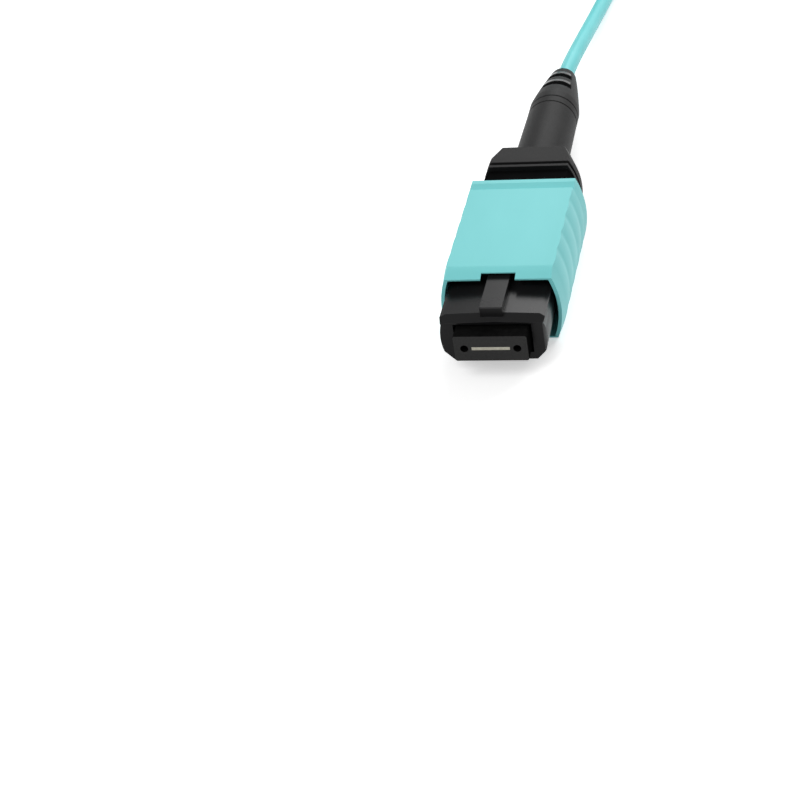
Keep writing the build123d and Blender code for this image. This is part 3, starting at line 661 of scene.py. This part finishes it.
# strain-relief boot: flange, filleted stem, two ring lines and a slotted tip
boot = {
    "collar": (25.02, 0.35), "collarStep": 0.2,  # collar: front, inset
    "flangeFront": 25.42, "taperFront": 26.3, "flangeRear": 28.2, "taper": 0.75,
    "topHalf": 3.68, "midHalf": 4.58, "halfHeight": 3.3, "topSteps": 8, "sidePoints": 20,
    "stem": 2.6, "stemEnd": 2.45, "stemRear": 40.5, "stemSteps": 6, "fillet": 0.35, "filletSteps": 6,
    "rings": (38.5, 39.6), "ringHalf": 0.1, "ringDepth": 0.07,
    "ringProfile": ((-1, 0.0), (-0.4, 0.8), (0, 1.0), (0.4, 0.8), (1, 0.0)),  # share of half width, of depth
    "rear": 47.4, "tip": 1.32, "tipRound": 0.3, "tipRoundSteps": 3, "tipSteps": 14, "swell": 0.06,
    "slots": ((42.35, 43.35), (44.65, 45.65)), "slotHalfAngle": 44, "slotMargin": 0.2,
    "slotRound": 0.32, "slotSegments": 4, "slotSharp": 50,
    "hub": (3.19, 2.26, 26.66),  # half width, half height, rear
    "crimpBore": (2.08, 32.86), "gripBore": (1.06, 33.46, 35.86), "bore": 0.86,  # radius, then its ends
    "edge": 0.1, "edgeSegments": 3, "edgeSharp": 20, "smooth": 34, "crestOutward": 0.3,
    "boreClear": 0.1, "stemClear": 0.05, "nearby": 0.01, "tiny": 1e-6,
}


# radius and y of the turned part: fillet, stem with its ring lines, swelling tip, rounded end
def bootProfile(spec):
    profile = []
    stem, stemEnd, fillet = spec["stem"], spec["stemEnd"], spec["fillet"]
    for step in range(spec["filletSteps"] + 1):
        angle = radians(90 * step / spec["filletSteps"])
        profile.append((stem + fillet * (1 - sin(angle)), spec["flangeRear"] + fillet * (1 - cos(angle))))
    stemFront = spec["flangeRear"] + fillet
    plain = spec["rings"][0] - spec["ringHalf"] - stemFront

    def stemRadius(y):
        return stem + (stemEnd - stem) * min(1.0, (y - stemFront) / plain)

    for step in range(1, spec["stemSteps"]):
        y = stemFront + plain * step / spec["stemSteps"]
        profile.append((stemRadius(y), y))
    for middle in spec["rings"]:
        for offset, drop in spec["ringProfile"]:
            y = middle + offset * spec["ringHalf"]
            profile.append((stemRadius(y) - drop * spec["ringDepth"], y))
    start, end = spec["stemRear"], spec["rear"] - spec["tipRound"]
    profile.append((stemEnd, start))
    marks = [y for slot in spec["slots"] for y in slot]
    even = [start + (end - start) * step / spec["tipSteps"] for step in range(1, spec["tipSteps"])]
    clear = [y for y in even if min(abs(y - mark) for mark in marks) > spec["slotMargin"]]
    for y in sorted(clear + marks) + [end]:
        share = (y - start) / (end - start)
        bulge = spec["swell"] * 4 * share * (1 - share)
        profile.append((stemEnd + (spec["tip"] - stemEnd) * share + bulge, y))
    for step in range(1, spec["tipRoundSteps"] + 1):
        angle = radians(90 * step / spec["tipRoundSteps"])
        profile.append((spec["tip"] - spec["tipRound"] * (1 - cos(angle)), end + spec["tipRound"] * sin(angle)))
    return profile


def makeBoot(spec):
    bm = bmesh.new()
    tops = [step / spec["topSteps"] - 1 for step in range(2 * spec["topSteps"] + 1)]

    def flangeLoop(inset, sink):
        return bowedLoop(spec["topHalf"] - inset, spec["midHalf"] - inset, spec["halfHeight"] - sink, tops,
                         spec["sidePoints"])

    def placed(loop, y):
        return [(x, y, z) for x, z in loop]

    collarFront, inset = spec["collar"]
    flange, flangeBack, collar = flangeLoop(0.0, 0.0), flangeLoop(spec["taper"], 0.0), flangeLoop(inset, inset)
    turns = [atan2(z, x) for x, z in flangeBack]

    def ring(radius, y):
        return [(radius * cos(turn), y, radius * sin(turn)) for turn in turns]

    hubX, hubZ, hubRear = spec["hub"]
    hub = []
    for turn in turns:
        reach = min(hubX / max(abs(cos(turn)), spec["tiny"]), hubZ / max(abs(sin(turn)), spec["tiny"]))
        hub.append((reach * cos(turn), reach * sin(turn)))
    crimp, crimpRear = spec["crimpBore"]
    grip, gripFront, gripRear = spec["gripBore"]
    outside = [placed(collar, collarFront), placed(collar, spec["flangeFront"]),
               placed(flange, spec["flangeFront"]), placed(flange, spec["taperFront"]),
               placed(flangeBack, spec["flangeRear"])]
    inside = [placed(hub, collarFront), placed(hub, collarFront + spec["collarStep"]),
              placed(hub, spec["flangeFront"]), placed(hub, hubRear), ring(crimp, hubRear)]

    def boreAt(y):
        if y <= crimpRear:
            return crimp
        if y <= gripFront:
            return crimp + (grip - crimp) * (y - crimpRear) / (gripFront - crimpRear)
        return grip if y <= gripRear else spec["bore"]

    for radius, y in bootProfile(spec):
        outside.append(ring(radius, y))
        inside.append(ring(boreAt(y), y))
    rows = [row[0][1] for row in outside]

    # top and bottom, not the sides
    def overSlot(turn):
        return abs(abs(turn) - pi / 2) < radians(spec["slotHalfAngle"])

    def isOpen(row, at):
        middle = (rows[row] + rows[row + 1]) / 2
        if not any(front < middle < rear for front, rear in spec["slots"]):
            return False
        after = (at + 1) % len(turns)
        return overSlot(atan2(sin(turns[at]) + sin(turns[after]), cos(turns[at]) + cos(turns[after])))

    addShell(bm, outside, inside, isOpen)
    bmesh.ops.recalc_face_normals(bm, faces=bm.faces)

    def fromAxis(edge):
        return max(hypot(v.co.x, v.co.z) for v in edge.verts)

    slotEdges = [e for e in sharpEdges(bm, spec["slotSharp"])
                 if min(v.co.y for v in e.verts) > spec["stemRear"]
                 and fromAxis(e) > spec["bore"] + spec["boreClear"]]
    flangeEdges = [e for e in sharpEdges(bm, spec["edgeSharp"])
                   if max(v.co.y for v in e.verts) < spec["flangeRear"] + spec["nearby"]
                   and fromAxis(e) > spec["stem"] + spec["fillet"] + spec["stemClear"]]
    roundEdges(bm, flangeEdges, spec["edge"], spec["edgeSegments"])
    roundEdges(bm, [e for e in slotEdges if e.is_valid], spec["slotRound"], spec["slotSegments"])
    piece = finishPiece(bm, "strainReliefBoot", "boot", "connector", ("strain_relief_boot",),
                        spec["smooth"])

    # the rounded rear edge of each slot gets a lighter, glossier finish: a painted highlight along the crest
    def onCrest(centre, normal):
        outward = (centre.x * normal.x + centre.z * normal.z) / max(hypot(centre.x, centre.z), spec["tiny"])
        behind = any(-spec["nearby"] < centre.y - rear < spec["slotRound"] for front, rear in spec["slots"])
        return behind and outward > spec["crestOutward"] and overSlot(atan2(centre.z, centre.x))

    return addFinish(piece, "bootCrestHighlight", onCrest)


makeBoot(boot)
print("stage: boot made")


# nose housing and spring push: rounded copies; the neck behind the sleeve gets a darker finish without gloss, as
# painted shade for the recess between sleeve and boot
neckFront = 21.7
noseHousing = roundedCopy("inner_housing", "noseHousing", "housing", "connector",
                          edgeRound=0.06, cutAt=neckFront)
addFinish(noseHousing, "neck", lambda centre, normal: centre.y > neckFront)
roundedCopy("spring_push", "springPush", "push", "connector", edgeRound=0.06)

# ferrule with its polished fibre line
fibreLine = {"half": (1.66, 0.145), "proud": 0.012, "depth": 0.05, "edge": 0.01}
ferruleBlock = roundedCopy("ferrule", "ferruleBlock", "ferrule", "ferrule_group", edgeRound=0.03)
# all faces but the ground end face get the darker side finish: painted shade for the shadow under the housing's
# brim
addFinish(ferruleBlock, "ferruleSide", lambda centre, normal: normal.y > -0.5)  # all but the ground end face


def makeFibreLine(spec):
    bm = bmesh.new()
    x, z = spec["half"]
    addBox(bm, (-x, -spec["proud"], -z), (x, spec["depth"], z))
    roundEdges(bm, bm.edges[:], spec["edge"], 1)
    finishPiece(bm, "fibreLine", "polish", "ferrule_group")


makeFibreLine(fibreLine)
roundedCopy("pin_keeper", "pinKeeper", "keeper", "ferrule_group", edgeRound=0.05)

# springs and ribbon: rounded copies, each with its own mesh
yielding = [
    # node, name, finish, slot, joint, fixed end (mm), share of the length that stays
    ("left_return_spring", "leftReturnSpring", "spring", "spring_steel", "sleeve_slide", 21.17, 0.696),
    ("right_return_spring", "rightReturnSpring", "spring", "spring_steel", "sleeve_slide", 21.17, 0.696),
    ("ferrule_spring", "ferruleSpring", "spring", "spring_steel", "ferrule_slide", 17.83, 0.868),
    ("fibre_ribbon", "fibreRibbon", "ribbon", "ribbon_coating", "ferrule_slide", 28.0, 0.956),
]
for node, name, finish, slotName, joint, fixedEnd, share in yielding:
    piece = roundedCopy(node, name, finish, "connector")
    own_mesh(piece)

# tie: a woven band round the hank with its end lapped over on top
tie = {
    "y": (99.1, 103.1), "left": -11.55, "right": 3.55, "bottom": -3.45, "top": 6.92, "thick": 0.3,
    "corner": 1.2, "cornerSteps": 8, "edge": 0.06, "edgeSharp": 60,
    "lap": (-8.4, 1.6), "lapThick": 0.28, "lapInset": 0.1, "lapSink": 0.02, "lapCorner": 0.9, "lapSegments": 6,
}


def roundedRing(spec, inset):
    ring = []
    corner, steps = spec["corner"] - inset, spec["cornerSteps"]
    left, right = spec["left"] + spec["corner"], spec["right"] - spec["corner"]
    bottom, top = spec["bottom"] + spec["corner"], spec["top"] - spec["corner"]
    for x, z, start in ((right, top, 0), (left, top, 90), (left, bottom, 180), (right, bottom, 270)):
        for step in range(steps + 1):
            angle = radians(start + 90 * step / steps)
            ring.append((x + corner * cos(angle), z + corner * sin(angle)))
    return ring


def makeTie(spec):
    bm = bmesh.new()
    near, far = spec["y"]
    outer, inner = roundedRing(spec, 0.0), roundedRing(spec, spec["thick"])
    addShell(bm, [[(x, y, z) for x, z in outer] for y in (near, far)],
             [[(x, y, z) for x, z in inner] for y in (near, far)], lambda row, at: False)
    lapLeft, lapRight = spec["lap"]
    verts = addBox(bm, (lapLeft, near + spec["lapInset"], spec["top"] - spec["lapSink"]),
                   (lapRight, far - spec["lapInset"], spec["top"] + spec["lapThick"]))
    upright = {e for v in verts for e in v.link_edges if abs(e.verts[0].co.z - e.verts[1].co.z) > spec["lapSink"]}
    roundEdges(bm, list(upright), spec["lapCorner"], spec["lapSegments"])
    bmesh.ops.recalc_face_normals(bm, faces=bm.faces)
    roundEdges(bm, sharpEdges(bm, spec["edgeSharp"]), spec["edge"])
    return finishPiece(bm, "hankTie", "tie", "connector", ("hank_tie",))


hankTie = makeTie(tie)

# CAD pieces that only get their finish
plainNodes = {
    "bare_fibres": "fibre", "window_adhesive": "adhesive", "ferrule_boot": "softRubber",
    "aramid_yarn": "yarn", "crimp_sleeve": "crimp", "cable_stub": "jacket",
}
for node, finish in plainNodes.items():
    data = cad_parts[node].data
    data.materials.clear()
    data.materials.append(finishes[finish])
print("stage: pieces made")
